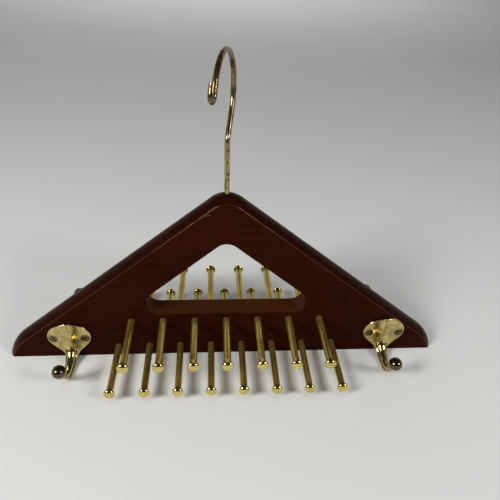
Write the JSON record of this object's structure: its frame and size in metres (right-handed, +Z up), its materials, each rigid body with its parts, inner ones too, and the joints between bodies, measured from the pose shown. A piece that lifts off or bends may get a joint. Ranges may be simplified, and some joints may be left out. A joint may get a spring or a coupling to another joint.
{
  "type": "tie hanger",
  "caption": "Triangular wooden hanger with brass tie pegs on both faces, cast brass coat hooks and a swivelling wire hook.",
  "frame": {"origin": "middle of the board's flat bottom edge, on the floor under the centre of the whole part", "axes": "+X along the board to the right as seen from the front, +Y from the front face through the wood to the rear face, +Z up towards the wire hook"},
  "size_m": [0.425, 0.146, 0.2933],
  "materials": {
    "wood": "satin varnish",
    "peg_brass": "polished",
    "cast_brass": "polished",
    "wire_brass": "worn polish",
    "bush_brass": "dull",
    "screw_brass": "dark bronzed"
  },
  "bodies": {
    "hanger": {"board": "wood", "swivel_bush": "bush_brass", "swivel_washer": "bush_brass", "peg_front_upper_1": "peg_brass", "peg_front_upper_2": "peg_brass", "peg_front_upper_3": "peg_brass", "peg_front_upper_4": "peg_brass", "peg_front_upper_5": "peg_brass", "peg_front_upper_6": "peg_brass", "peg_front_upper_7": "peg_brass", "peg_front_lower_1": "peg_brass", "peg_front_lower_2": "peg_brass", "peg_front_lower_3": "peg_brass", "peg_front_lower_4": "peg_brass", "peg_front_lower_5": "peg_brass", "peg_front_lower_6": "peg_brass", "peg_front_lower_7": "peg_brass", "peg_front_lower_8": "peg_brass", "peg_rear_upper_1": "peg_brass", "peg_rear_upper_2": "peg_brass", "peg_rear_upper_3": "peg_brass", "peg_rear_upper_4": "peg_brass", "peg_rear_upper_5": "peg_brass", "peg_rear_upper_6": "peg_brass", "peg_rear_upper_7": "peg_brass", "peg_rear_upper_8": "peg_brass", "peg_rear_lower_1": "peg_brass", "peg_rear_lower_2": "peg_brass", "peg_rear_lower_3": "peg_brass", "peg_rear_lower_4": "peg_brass", "peg_rear_lower_5": "peg_brass", "peg_rear_lower_6": "peg_brass", "peg_rear_lower_7": "peg_brass", "coat_hook_front_left": "cast_brass", "coat_hook_front_right": "cast_brass", "coat_hook_rear_left": "cast_brass", "coat_hook_rear_right": "cast_brass", "screws_front_left": "screw_brass", "screws_front_right": "screw_brass", "screws_rear_left": "screw_brass", "screws_rear_right": "screw_brass"},
    "hook": {"wire_hook": "wire_brass"}
  },
  "joints": [
    {"name": "hook_swivel", "type": "hinge", "parent": "hanger", "child": "hook", "pos_m": [0, 0, 0.17], "axis": [0, 0, 1], "continuous": true}
  ]
}
